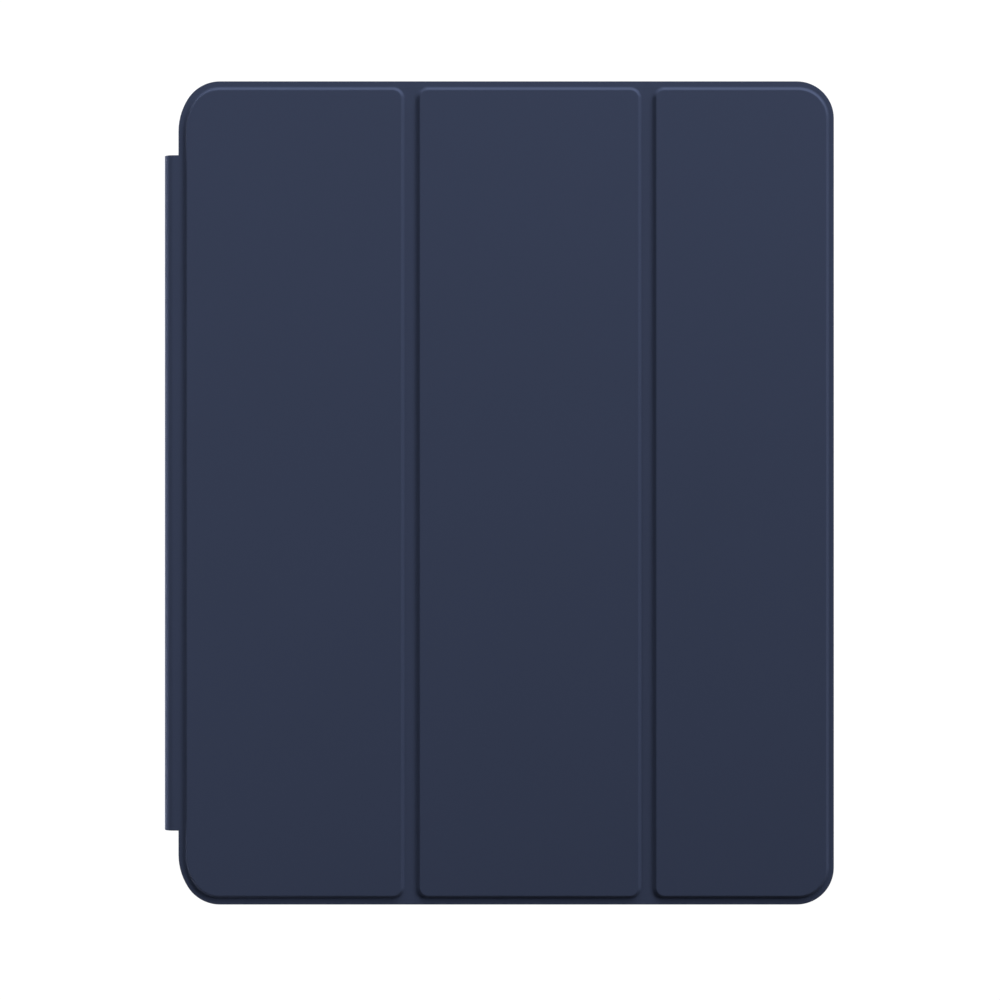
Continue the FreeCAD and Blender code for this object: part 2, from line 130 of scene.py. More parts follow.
def makeFloor():
    bm = bmesh.new()
    bmesh.ops.create_grid(bm, x_segments=1, y_segments=1, size=stage["floorSize"] / 2 * mm)
    mesh = bpy.data.meshes.new("floor")
    bm.to_mesh(mesh)
    bm.free()
    floor = bpy.data.objects.new("floor", mesh)
    bpy.context.scene.collection.objects.link(floor)
    material = bpy.data.materials.new("white studio paper")
    material.use_nodes = True
    shader = material.node_tree.nodes["Principled BSDF"]
    shader.inputs["Base Color"].default_value = linearColour(stage["floorColour"])
    shader.inputs["Roughness"].default_value = stage["floorRoughness"]
    shader.inputs["Emission Color"].default_value = (1, 1, 1, 1)
    shader.inputs["Emission Strength"].default_value = stage["floorGlow"]
    mesh.materials.append(material)
    floor.location.z = -stage["floorDrop"] * mm


def makeLights():
    for name, light in lights.items():
        data = bpy.data.lights.new(name, "AREA")
        data.shape = "RECTANGLE"
        data.size = light["size"][0] * mm
        data.size_y = light["size"][1] * mm
        data.energy = light["watts"]
        made = bpy.data.objects.new(name, data)
        made.location = Vector(light["place"]) * mm
        outward = Vector(light["aim"]) * mm - made.location
        made.rotation_euler = outward.to_track_quat("-Z", "Y").to_euler()
        made.visible_camera = False
        made.visible_glossy = False
        bpy.context.scene.collection.objects.link(made)
    world = bpy.data.worlds.new("studio air")
    world.use_nodes = True
    tree = world.node_tree
    background = tree.nodes["Background"]
    background.inputs["Color"].default_value = (1, 1, 1, 1)
    # the backdrop is as white as the floor, and lights the object only as much as ambientLight
    seen = addNode(tree, "ShaderNodeLightPath").outputs["Is Camera Ray"]
    strength = addNode(tree, "ShaderNodeMapRange",
                       {"To Min": ambientLight, "To Max": stage["floorGlow"]},
                       {"Value": seen})
    tree.links.new(strength.outputs["Result"], background.inputs["Strength"])
    bpy.context.scene.world = world
    bpy.context.scene.view_settings.view_transform = "Standard"


makeCamera()
makeFloor()
makeLights()
print("camera, floor and lights ready")


# materials

mixSockets = {"factor": 0, "first": 6, "second": 7, "result": 2}  # of a Mix node that mixes colours


def startMaterial(name):
    material = bpy.data.materials.new(name)
    material.use_nodes = True
    tree = material.node_tree
    tree.nodes.clear()
    shader = addNode(tree, "ShaderNodeBsdfPrincipled")
    addNode(tree, "ShaderNodeOutputMaterial", links={"Surface": shader.outputs["BSDF"]})
    coordinates = addNode(tree, "ShaderNodeTexCoord").outputs["Object"]
    return material, tree, shader, coordinates


def mixColours(tree, first, second, factor):
    return addNode(tree, "ShaderNodeMix",
                   {"data_type": "RGBA", mixSockets["first"]: first, mixSockets["second"]: second},
                   {mixSockets["factor"]: factor}).outputs[mixSockets["result"]]


def perMetre(millimetres):
    # a texture's scale that gives features of this size
    return 1000 / millimetres


polyurethane = {
    "colour": "#32394D",
    "deepColour": "#31384B",
    "cloudSize": 45.0,  # mm, the faint mottle of a pressed film
    "grainSize": 0.32,  # mm; the real pores are near 0.1 mm and are drawn coarser so that they show
    "grainDepth": 0.004,
    "roughness": 0.45,
    "roughnessSwing": 0.04,
    "gloss": 0.04,
}


def makePolyurethane():
    # polyurethane film over board: smooth and matte, with a fine even pore and hardly any gloss
    material, tree, shader, coordinates = startMaterial("pressed polyurethane film")
    cloud = addNode(tree, "ShaderNodeTexNoise",
                    {"Scale": perMetre(polyurethane["cloudSize"]), "Detail": 3.0, "Roughness": 0.55},
                    {"Vector": coordinates})
    colour = mixColours(tree, linearColour(polyurethane["colour"]), linearColour(polyurethane["deepColour"]),
                        cloud.outputs["Fac"])
    grain = addNode(tree, "ShaderNodeTexVoronoi",
                    {"Scale": perMetre(polyurethane["grainSize"]), "feature": "SMOOTH_F1", "Smoothness": 0.6},
                    {"Vector": coordinates})
    bump = addNode(tree, "ShaderNodeBump",
                   {"Strength": 1.0, "Distance": polyurethane["grainDepth"] * mm},
                   {"Height": grain.outputs["Distance"]})
    uneven = addNode(tree, "ShaderNodeMapRange",
                     {"From Min": 0.3, "From Max": 0.7,
                      "To Min": polyurethane["roughness"] - polyurethane["roughnessSwing"],
                      "To Max": polyurethane["roughness"] + polyurethane["roughnessSwing"]},
                     {"Value": cloud.outputs["Fac"]})
    tree.links.new(colour, shader.inputs["Base Color"])
    tree.links.new(uneven.outputs["Result"], shader.inputs["Roughness"])
    tree.links.new(bump.outputs["Normal"], shader.inputs["Normal"])
    shader.inputs["Specular IOR Level"].default_value = polyurethane["gloss"]
    return material


edgePaint = {
    "colour": "#283044",
    "thinColour": "#2C3349",
    "dabSize": 3.0,
    "dabDepth": 0.01,
    "roughness": 0.5,
    "gloss": 0.05,
}


def makeEdgePaint():
    # acrylic paint rolled onto a cut edge: a little deeper than the film, in uneven dabs
    material, tree, shader, coordinates = startMaterial("rolled edge paint")
    dabs = addNode(tree, "ShaderNodeTexNoise",
                   {"Scale": perMetre(edgePaint["dabSize"]), "Detail": 4.0},
                   {"Vector": coordinates})
    colour = mixColours(tree, linearColour(edgePaint["colour"]), linearColour(edgePaint["thinColour"]),
                        dabs.outputs["Fac"])
    bump = addNode(tree, "ShaderNodeBump",
                   {"Strength": 0.5, "Distance": edgePaint["dabDepth"] * mm},
                   {"Height": dabs.outputs["Fac"]})
    tree.links.new(colour, shader.inputs["Base Color"])
    tree.links.new(bump.outputs["Normal"], shader.inputs["Normal"])
    shader.inputs["Roughness"].default_value = edgePaint["roughness"]
    shader.inputs["Specular IOR Level"].default_value = edgePaint["gloss"]
    return material


microfibre = {
    "colour": "#323A50",
    "lightColour": "#3D465D",
    "napSize": 18.0,  # mm, patches where the nap lies one way
    "fibreSize": 0.22,  # mm; single fibres are near 0.01 mm and show only as tufts
    "fibreDepth": 0.05,
    "napShare": 0.55,  # of the tone; the tufts give the rest
    "roughness": 0.95,
    "sheen": 0.25,
    "sheenRoughness": 0.45,
    "sheenColour": "#8A93AB",
}


def makeMicrofibre():
    # split-fibre cloth brushed to a short nap: no gloss, a soft bloom at low angles and cloudy tone
    material, tree, shader, coordinates = startMaterial("brushed microfibre")
    nap = addNode(tree, "ShaderNodeTexNoise",
                  {"Scale": perMetre(microfibre["napSize"]), "Detail": 4.0, "Roughness": 0.6,
                   "Distortion": 0.8},
                  {"Vector": coordinates})
    tufts = addNode(tree, "ShaderNodeTexNoise",
                    {"Scale": perMetre(microfibre["fibreSize"]), "Detail": 2.0, "Roughness": 0.7},
                    {"Vector": coordinates})
    tone = addNode(tree, "ShaderNodeMath", {"operation": "MULTIPLY", 1: microfibre["napShare"]},
                   {0: nap.outputs["Fac"]})
    fleck = addNode(tree, "ShaderNodeMath", {"operation": "MULTIPLY_ADD", 1: 1 - microfibre["napShare"]},
                    {0: tufts.outputs["Fac"], 2: tone.outputs[0]})
    colour = mixColours(tree, linearColour(microfibre["colour"]), linearColour(microfibre["lightColour"]),
                        fleck.outputs[0])
    bump = addNode(tree, "ShaderNodeBump",
                   {"Strength": 0.7, "Distance": microfibre["fibreDepth"] * mm},
                   {"Height": tufts.outputs["Fac"]})
    tree.links.new(colour, shader.inputs["Base Color"])
    tree.links.new(bump.outputs["Normal"], shader.inputs["Normal"])
    shader.inputs["Roughness"].default_value = microfibre["roughness"]
    shader.inputs["Sheen Weight"].default_value = microfibre["sheen"]
    shader.inputs["Sheen Roughness"].default_value = microfibre["sheenRoughness"]
    shader.inputs["Sheen Tint"].default_value = linearColour(microfibre["sheenColour"])
    return material


laminate = {
    "resin": "#8F8F72",
    "glass": "#B9BBA2",
    "weavePitch": 7.54,  # mm; the real yarns are about 1.2 mm apart and are drawn coarser
    "weaveDepth": 0.02,
    "roughness": 0.38,
    "ior": 1.55,  # epoxy
}
waveTurn = math.tau / 20  # of texture space that one wave of a Wave Texture takes


def makeLaminate():
    # woven glass cloth set in epoxy: a pale green-grey sheet with the weave showing under a smooth resin
    material, tree, shader, coordinates = startMaterial("glass-fibre laminate")
    bands = []
    for direction in ("X", "Y"):
        wave = addNode(tree, "ShaderNodeTexWave",
                       {"bands_direction": direction, "Scale": perMetre(laminate["weavePitch"]) * waveTurn,
                        "Distortion": 0.6, "Detail": 2.0, "Detail Scale": 4.0},
                       {"Vector": coordinates})
        bands.append(wave.outputs["Fac"])
    weave = addNode(tree, "ShaderNodeMath", {"operation": "MULTIPLY"}, {0: bands[0], 1: bands[1]})
    colour = mixColours(tree, linearColour(laminate["resin"]), linearColour(laminate["glass"]),
                        weave.outputs[0])
    bump = addNode(tree, "ShaderNodeBump", {"Strength": 0.4, "Distance": laminate["weaveDepth"] * mm},
                   {"Height": weave.outputs[0]})
    tree.links.new(colour, shader.inputs["Base Color"])
    tree.links.new(bump.outputs["Normal"], shader.inputs["Normal"])
    shader.inputs["Roughness"].default_value = laminate["roughness"]
    shader.inputs["IOR"].default_value = laminate["ior"]
    return material


glueFilm = {
    "colour": "#C9C3AE",
    "thickColour": "#DAD6C6",
    "webSize": 2.2,
    "webDepth": 0.03,
    "roughness": 0.3,
}


def makeGlueFilm():
    # hot-melt film after pressing: milky, smooth in places and webbed where it flowed
    material, tree, shader, coordinates = startMaterial("pressed hot-melt film")
    web = addNode(tree, "ShaderNodeTexVoronoi",
                  {"feature": "DISTANCE_TO_EDGE", "Scale": perMetre(glueFilm["webSize"])},
                  {"Vector": coordinates})
    soft = addNode(tree, "ShaderNodeMapRange", {"From Max": 0.25}, {"Value": web.outputs["Distance"]})
    colour = mixColours(tree, linearColour(glueFilm["thickColour"]), linearColour(glueFilm["colour"]),
                        soft.outputs["Result"])
    bump = addNode(tree, "ShaderNodeBump",
                   {"Strength": 0.5, "Distance": glueFilm["webDepth"] * mm, "invert": True},
                   {"Height": soft.outputs["Result"]})
    tree.links.new(colour, shader.inputs["Base Color"])
    tree.links.new(bump.outputs["Normal"], shader.inputs["Normal"])
    shader.inputs["Roughness"].default_value = glueFilm["roughness"]
    return material


metalLines = {"shade": 0.86, "roughnessSwing": 0.06}


def makeBrightMetal(name, colour, roughness, lineAcross, lineAlong, lineDepth):
    # fine lines run along Y: the rolling or tumbling marks that stretch a highlight
    material, tree, shader, coordinates = startMaterial(name)
    stretch = addNode(tree, "ShaderNodeMapping",
                      {"Scale": (perMetre(lineAcross), perMetre(lineAlong), perMetre(lineAcross))},
                      {"Vector": coordinates})
    lines = addNode(tree, "ShaderNodeTexNoise", {"Scale": 1.0, "Detail": 3.0}, {"Vector": stretch.outputs[0]})
    bright = linearColour(colour)
    shaded = [metalLines["shade"] * channel for channel in bright[:3]] + [1.0]
    tint = mixColours(tree, shaded, bright, lines.outputs["Fac"])
    uneven = addNode(tree, "ShaderNodeMapRange",
                     {"From Min": 0.3, "From Max": 0.7,
                      "To Min": roughness - metalLines["roughnessSwing"],
                      "To Max": roughness + metalLines["roughnessSwing"]},
                     {"Value": lines.outputs["Fac"]})
    bump = addNode(tree, "ShaderNodeBump", {"Strength": 0.4, "Distance": lineDepth * mm},
                   {"Height": lines.outputs["Fac"]})
    tree.links.new(tint, shader.inputs["Base Color"])
    tree.links.new(uneven.outputs["Result"], shader.inputs["Roughness"])
    tree.links.new(bump.outputs["Normal"], shader.inputs["Normal"])
    shader.inputs["Metallic"].default_value = 1.0
    return material


nickelPlate = {
    "colour": "#BDB9AF",
    "roughness": 0.22,
    "lineAcross": 0.15,
    "lineAlong": 1.5,
    "lineDepth": 0.002,
}
rolledSteel = {
    "colour": "#8E9093",
    "roughness": 0.36,
    "lineAcross": 0.1,
    "lineAlong": 12.0,
    "lineDepth": 0.004,
}

polyurethaneFilm = makePolyurethane()
paintedEdge = makeEdgePaint()
brushedMicrofibre = makeMicrofibre()
glassLaminate = makeLaminate()
hotMeltFilm = makeGlueFilm()
nickelPlating = makeBrightMetal("nickel plating", **nickelPlate)
coldRolledSteel = makeBrightMetal("cold-rolled steel", **rolledSteel)
print("materials ready")


# outlines

meshes = {
    "joinWithin": 1e-7,  # metres
    "squareNormal": 0.99,  # how nearly a flat face's normal lies along its axis
    "sharpTurn": 1.0,  # radians, less than the turn between a sheet's side and its wall
    "smoothTurn": 38.0,  # degrees, the most that still shades as one round surface
}

sheets = {  # mm, apart from the steps
    "freeCorner": 12.7,
    "hingeCorner": (13.0, 20.6, 14.2),  # end radius, side radius and how far the end arc's centre is set back
    "foldCorner": 4.2,
    "hingeRim": 1.65,
    "endRim": 1.75,
    "windowRim": 1.3,
    "boardInset": 1.35,
    "cornerStep": 4.5,  # degrees to each short side of an arc
    "fewestSteps": 2,
}


def atMillimetres(corner):
    if isinstance(corner, tuple):
        return tuple(part * mm for part in corner)
    return corner * mm


def cornerStops(x, y, across, along, corner):
    # the arcs of one corner, as a start and the turns that follow; across and along point into the plate
    if corner is None:
        return [(x, y, [])]
    if isinstance(corner, float):
        centre = (x + across * corner, y + along * corner)
        startsOnEnd = across * along < 0
        start = (centre[0], y) if startsOnEnd else (x, centre[1])
        return [(*start, [(*centre, 90.0)])]
    endRadius, sideRadius, setback = corner
    spread = sideRadius - setback
    rise = math.sqrt((sideRadius - endRadius) ** 2 - spread ** 2)
    turn = math.degrees(math.atan2(rise, spread))
    endArc = (x + across * setback, y + along * endRadius, 90 - turn)
    sideArc = (x + across * sideRadius, y + along * (endRadius + rise), turn)
    if along < 0:
        return [(endArc[0], y, [endArc, sideArc])]
    return [(x, sideArc[1], [sideArc, endArc])]


def traceLoop(bm, plate, level):
    # a closed loop of vertices round a plate, anticlockwise from its low right corner
    left, right, low, high = (plate[side] for side in ("left", "right", "low", "high"))
    stops = cornerStops(right, low, -1, 1, plate["rightCorner"])
    stops += cornerStops(right, high, -1, -1, plate["rightCorner"])
    stops += cornerStops(left, high, 1, -1, plate["leftCorner"])
    if plate.get("tab"):
        tabLeft, tabHalf = plate["tab"]
        for x, y in ((left, tabHalf), (tabLeft, tabHalf), (tabLeft, -tabHalf), (left, -tabHalf)):
            stops.append((x, y, []))
    stops += cornerStops(left, low, 1, 1, plate["leftCorner"])
    loop = []
    for x, y, turns in stops:
        loop.append(bm.verts.new((x, y, level)))
        for centreX, centreY, degrees in turns:
            steps = max(sheets["fewestSteps"], round(degrees / sheets["cornerStep"]))
            for _ in range(steps):
                made = bmesh.ops.spin(bm, geom=[loop[-1]], cent=(centreX, centreY, level), axis=(0, 0, 1),
                                      angle=math.radians(degrees / steps), steps=1, use_merge=False)
                loop += [item for item in made["geom_last"] if isinstance(item, bmesh.types.BMVert)]
    return loop


def grown(plate, amount):
    # the outline that lies outside a plate's by this much all round
    def grownCorner(corner):
        if isinstance(corner, tuple):
            return tuple(part + amount for part in corner)
        return corner + amount
    return {
        "left": plate["left"] - amount,
        "right": plate["right"] + amount,
        "low": plate["low"] - amount,
        "high": plate["high"] + amount,
        "leftCorner": grownCorner(plate["leftCorner"]),
        "rightCorner": grownCorner(plate["rightCorner"]),
    }


def loopEdges(bm, loop):
    pairs = zip(loop, loop[1:] + loop[:1])
    return [bm.edges.get(pair) or bm.edges.new(pair) for pair in pairs]


def fillBetween(bm, *loops):
    # a flat sheet inside the first loop and outside the others
    edges = [edge for loop in loops for edge in loop]
    made = bmesh.ops.triangle_fill(bm, use_beauty=True, use_dissolve=False, edges=edges, normal=(0, 0, 1))
    return [item for item in made["geom"] if isinstance(item, bmesh.types.BMFace)]


def liesAt(edge, axis, level):
    # whether an edge lies at one level along x, y or z
    return all(abs(getattr(vert.co, axis) - level) < samePlace for vert in edge.verts)


def isSquareTo(face, axis):
    return abs(getattr(face.normal, axis)) > meshes["squareNormal"]


def thicken(bm, sheet, depth):
    # a second side to a flat sheet, this far along Z, and the walls between the two
    made = bmesh.ops.extrude_face_region(bm, geom=sheet)
    moved = [item for item in made["geom"] if isinstance(item, bmesh.types.BMVert)]
    bmesh.ops.translate(bm, verts=moved, vec=(0, 0, depth))
    bmesh.ops.recalc_face_normals(bm, faces=bm.faces)
    bm.normal_update()


def freeEdges(bm, level, seams):
    # the edges round one side of a sheet, without those that meet another sheet
    return [edge for edge in bm.edges
            if liesAt(edge, "z", level) and edge.calc_face_angle(0) > meshes["sharpTurn"]
            and not any(liesAt(edge, "x", seam) for seam in seams)]


def rollEdges(bm, edges, radius, steps):
    bmesh.ops.bevel(bm, geom=edges, offset=radius * mm, affect="EDGES", segments=steps, profile=0.5,
                    material=-1)


def finishMesh(bm, name, materials, recalculate=True):
    # joins doubles, turns faces outwards, keeps hard edges crisp and makes the object
    bmesh.ops.remove_doubles(bm, verts=bm.verts, dist=meshes["joinWithin"])
    bmesh.ops.dissolve_degenerate(bm, edges=bm.edges, dist=meshes["joinWithin"])
    if recalculate:
        bmesh.ops.recalc_face_normals(bm, faces=bm.faces)
    for face in bm.faces:
        face.smooth = True
    for edge in bm.edges:
        edge.smooth = edge.calc_face_angle(0) < math.radians(meshes["smoothTurn"])
    mesh = bpy.data.meshes.new(name)
    bm.to_mesh(mesh)
    bm.free()
    for material in materials:
        mesh.materials.append(material)
    made = bpy.data.objects.new(name, mesh)
    bpy.context.scene.collection.objects.link(made)
    shading = made.modifiers.new("flats stay flat", "WEIGHTED_NORMAL")
    shading.keep_sharp = True
    return made


def measureFrame():
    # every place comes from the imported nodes
    frontLow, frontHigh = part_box("panel_1_skin")
    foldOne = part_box("fold_1_skin")
    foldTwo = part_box("fold_2_skin")
    inset = sheets["boardInset"] * mm
    boards = [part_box(f"panel_{number}_board") for number in (1, 2, 3)]
    hingeEdge = boards[0][0].x - inset - sheets["hingeRim"] * mm
    return {
        "bendStart": frontLow.x,
        "hingeEdge": hingeEdge,
        "freeEdge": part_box("panel_3_skin")[1].x,
        "halfHeight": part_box("panel_2_skin")[1].y,
        "halfSpine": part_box("spine_skin")[1].y,
        "skinLow": foldOne[0].z,
        "skinTop": foldOne[1].z,
        "faceTop": frontHigh.z,
        "boardTop": boards[0][1].z,
        "seams": ((None, foldOne[0].x), (foldOne[1].x, foldTwo[0].x), (foldTwo[1].x, None)),
        "feet": [(low.x - inset, high.x + inset) for low, high in boards],
        "halfFoot": boards[0][1].y + inset,
    }


place = measureFrame()
print("outlines measured from the frame")


# outer skins of the panels and of the back

skin = {  # mm, apart from the steps
    "rolledEdge": 0.12,
    "rolledSteps": 3,
    "slopeRun": 0.88,
    "footRadius": 0.85,
    "shoulderRadius": 0.6,
    "profileSteps": 6,
    "wall": 1.3,
}


def edgeProfile(rise):
    # points across a raised edge: a hollow from the border's flat, a straight slope and a round shoulder
    footRadius = skin["footRadius"] * mm
    shoulderRadius = skin["shoulderRadius"] * mm
    steps = skin["profileSteps"]
    slope = math.atan2(rise, skin["slopeRun"] * mm)
    width = skin["slopeRun"] * mm + (footRadius + shoulderRadius) * math.tan(slope / 2)
    points = []
    for step in range(steps + 1):
        turn = slope * step / steps
        points.append((footRadius * math.sin(turn), footRadius * (1 - math.cos(turn))))
    for step in range(steps + 1):
        turn = slope * (1 - step / steps)
        points.append((width - shoulderRadius * math.sin(turn), rise - shoulderRadius * (1 - math.cos(turn))))
    return points


def buildBorder(bm, outline, window, seams):
    # the flat border sheet, with its free edges rolled over
    top, low = place["skinTop"], place["skinLow"]
    loops = [loopEdges(bm, traceLoop(bm, outline, top))]
    if window:
        loops.append(loopEdges(bm, traceLoop(bm, window, top)))
    thicken(bm, fillBetween(bm, *loops), low - top)
    rollEdges(bm, freeEdges(bm, top, seams), skin["rolledEdge"], skin["rolledSteps"])
    bm.normal_update()
    for face in bm.faces:
        face.material_index = 0 if isSquareTo(face, "z") else 1


def boundaryEdges(bm, level, window):
    # the open edges at a level, those of the window apart from the others
    outer, inner = [], []
    nearWindow = grown(window, sheets["windowRim"] * mm) if window else None
    for edge in bm.edges:
        if edge.is_boundary and liesAt(edge, "z", level):
            middle = (edge.verts[0].co + edge.verts[1].co) / 2
            inWindow = (window and nearWindow["left"] < middle.x < nearWindow["right"]
                        and nearWindow["low"] < middle.y < nearWindow["high"])
            (inner if inWindow else outer).append(edge)
    return outer, inner


def stackLoops(bm, plate, stops):
    # concentric loops of one plate, each a growth and a level, joined to the next by a band of faces
    loops = [loopEdges(bm, traceLoop(bm, grown(plate, growth), level)) for growth, level in stops]
    for before, after in zip(loops, loops[1:]):
        bmesh.ops.bridge_loops(bm, edges=before + after)
    return loops[0], loops[-1]


def closeSide(bm, level, stops, foot, window):
    # fills one side of a sheet from its border to the innermost of the loops round each foot
    flat = [face for face in bm.faces
            if isSquareTo(face, "z") and abs(face.calc_center_median().z - level) < samePlace]
    bmesh.ops.delete(bm, geom=flat, context="FACES")
    outer, inner = boundaryEdges(bm, level, window)
    first, last = stackLoops(bm, foot, [(-inset, at) for inset, at in stops])
    fillBetween(bm, outer, first)
    middle = [last]
    if window:
        windowFoot = grown(window, sheets["windowRim"] * mm)
        first, last = stackLoops(bm, windowFoot, stops)
        fillBetween(bm, first, inner)
        middle.append(last)
    fillBetween(bm, *middle)


def buildSkin(outline, foot, seams=(), window=None):
    top, low = place["skinTop"], place["skinLow"]
    bm = bmesh.new()
    buildBorder(bm, outline, window, seams)
    profile = edgeProfile(place["faceTop"] - top)
    closeSide(bm, top, [(run, top + rise) for run, rise in profile], foot, window)
    wall = skin["wall"] * mm
    closeSide(bm, low, [(wall, low), (wall, place["boardTop"])], foot, window)
    return bm


def footHingeCorner():
    endRadius, sideRadius, setback = atMillimetres(sheets["hingeCorner"])
    rim = sheets["hingeRim"] * mm
    return endRadius - sheets["endRim"] * mm, sideRadius - rim, setback - rim


def plateOf(index):
    # the outline and the raised foot of one panel
    leftSeam, rightSeam = place["seams"][index]
    half = place["halfHeight"]
    hingeCorner = atMillimetres(sheets["hingeCorner"])
    freeCorner = atMillimetres(sheets["freeCorner"])
    outline = {
        "left": place["hingeEdge"] if leftSeam is None else leftSeam,
        "right": place["freeEdge"] if rightSeam is None else rightSeam,
        "low": -half,
        "high": half,
        "leftCorner": hingeCorner if leftSeam is None else None,
        "rightCorner": freeCorner if rightSeam is None else None,
    }
    footLeft, footRight = place["feet"][index]
    foldCorner = atMillimetres(sheets["foldCorner"])
    foot = {
        "left": footLeft,
        "right": footRight,
        "low": -place["halfFoot"],
        "high": place["halfFoot"],
        "leftCorner": footHingeCorner() if leftSeam is None else foldCorner,
        "rightCorner": freeCorner - sheets["endRim"] * mm if rightSeam is None else foldCorner,
    }
    if leftSeam is None:
        outline["tab"] = (place["bendStart"], place["halfSpine"])
    return outline, foot


def wholePlate():
    # the back is one sheet, as large as the closed cover
    outline, foot = plateOf(0)
    freeOutline, freeFoot = plateOf(2)
    for side in ("right", "rightCorner"):
        outline[side] = freeOutline[side]
        foot[side] = freeFoot[side]
    return outline, foot


def seamsOf(index):
    # where a panel's sheets meet those of its neighbours
    seams = [seam for seam in place["seams"][index] if seam is not None]
    return [*seams, place["bendStart"]] if index == 0 else seams


cameraWindow = {"size": 32.0, "edge": 9.0, "corner": 8.5}  # mm


def measureWindow():
    # the hole through the back, as far from the free edge as from the far end
    right = place["freeEdge"] - cameraWindow["edge"] * mm
    high = place["halfHeight"] - cameraWindow["edge"] * mm
    size = cameraWindow["size"] * mm
    corner = cameraWindow["corner"] * mm
    return {
        "left": right - size,
        "right": right,
        "low": high - size,
        "high": high,
        "leftCorner": corner,
        "rightCorner": corner,
    }


def turnOver(bm):
    # the back is made face up like the front, then turned over onto its own level
    bmesh.ops.scale(bm, vec=(1, 1, -1), verts=bm.verts)
    bmesh.ops.translate(bm, vec=(0, 0, place["faceTop"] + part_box("back_skin")[0].z), verts=bm.verts)


skinMaterials = [polyurethaneFilm, paintedEdge]
for index, number in enumerate((1, 2, 3)):
    outline, foot = plateOf(index)
    panelSkin = finishMesh(buildSkin(outline, foot, seamsOf(index)),
                           f"panel_{number}_outer_skin", skinMaterials)
    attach(panelSkin, f"panel_{number}")
    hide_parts(f"panel_{number}_skin")
backOutline, backFoot = wholePlate()
backMesh = buildSkin(backOutline, backFoot, [place["bendStart"]], measureWindow())
turnOver(backMesh)
backSkin = finishMesh(backMesh, "back_outer_skin", skinMaterials)
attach(backSkin, "back")
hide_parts("back_skin")
print("outer skins of the panels and the back made")


# soft strips of skin and lining: folds, bends and the spine

strip = {
    "foldSteps": 18,
    "bendSteps": 16,
    "stillPart": 0.06,  # of a strip's width at each seam, which doesn't bend
    "liningRoll": 0.15,
    "liningSteps": 3,
    "liningInset": 0.12,
}
layers = {
    "skin": {"roll": skin["rolledEdge"], "outside": True, "slot": "outer_skin", "materials": skinMaterials},
    "lining": {"roll": strip["liningRoll"], "outside": False, "slot": "lining",
               "materials": [brushedMicrofibre, brushedMicrofibre]},
}


def buildFold(node, layer):
    # a flat strip between two panels, cut into narrow bands across its width
    low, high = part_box(node)
    bm = bmesh.new()
    corners = [(low.x, low.y), (high.x, low.y), (high.x, high.y), (low.x, high.y)]
    face = bm.faces.new([bm.verts.new((x, y, low.z)) for x, y in corners])
    thicken(bm, [face], high.z - low.z)
    level = high.z if layer["outside"] else low.z
    ends = [edge for edge in bm.edges if liesAt(edge, "z", level) and liesAt(edge, "y", edge.verts[0].co.y)]
    rollEdges(bm, ends, layer["roll"], skin["rolledSteps"])
    bm.normal_update()
    for face in bm.faces:
        face.material_index = 0 if isSquareTo(face, "z") or isSquareTo(face, "x") else 1
    for step in range(1, strip["foldSteps"]):
        across = low.x + (high.x - low.x) * step / strip["foldSteps"]
        bmesh.ops.bisect_plane(bm, geom=bm.verts[:] + bm.edges[:] + bm.faces[:],
                               plane_co=(across, 0, 0), plane_no=(1, 0, 0))
    return bm


def buildSection(level, across, layer):
    # the section of a strip along the spine: a long thin face with two corners rolled, a skin's on its
    # outer side and a lining's on its inner side
    half = place["halfSpine"]
    bm = bmesh.new()
    corners = [bm.verts.new((x, y, level)) for x, y in
               ((across[0], -half), (across[1], -half), (across[1], half), (across[0], half))]
    bm.faces.new(corners)
    rolledSide = across[0] if layer["outside"] else across[1]
    rolled = [vert for vert in corners if abs(vert.co.x - rolledSide) < samePlace]
    bmesh.ops.bevel(bm, geom=rolled, offset=layer["roll"] * mm, affect="VERTICES",
                    segments=skin["rolledSteps"], profile=0.5, material=-1)
    return bm


def paintEnds(bm):
    # the cut ends of a strip are painted like the other edges
    bm.normal_update()
    half = place["halfSpine"]
    for face in bm.faces:
        face.material_index = 1 if abs(face.calc_center_median().y) > half - skin["rolledEdge"] * mm else 0


def buildBend(node, thickness, layer, upper):
    # a quarter-round strip, spun from its section at the upright spine to the flat of the cover
    low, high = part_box(node)
    spineLevel = low.z if upper else high.z
    centre = (high.x, 0, spineLevel)
    bm = buildSection(spineLevel, (low.x, low.x + thickness), layer)
    bmesh.ops.spin(bm, geom=bm.verts[:] + bm.edges[:] + bm.faces[:], cent=centre, axis=(0, 1, 0),
                   angle=math.radians(90 if upper else -90), steps=strip["bendSteps"], use_merge=False)
    paintEnds(bm)
    return bm


def buildSpine(node, layer):
    low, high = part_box(node)
    bm = buildSection(low.z, (low.x, high.x), layer)
    thicken(bm, bm.faces[:], high.z - low.z)
    paintEnds(bm)
    return bm


def blendAlong(piece, node, start, end):
    # bakes the piece's place into its mesh and hides the imported node it stands for
    start, end = Vector(start), Vector(end)
    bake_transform(piece)
    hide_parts(node)


for number, first, second in ((1, "panel_1", "panel_2"), (2, "panel_2", "panel_3")):
    for name, layer in layers.items():
        node = f"fold_{number}_{name}"
        low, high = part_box(node)
        fold = finishMesh(buildFold(node, layer), f"fold_{number}_soft_{name}", layer["materials"])
        blendAlong(fold, node, (low.x, 0, low.z), (high.x, 0, low.z))

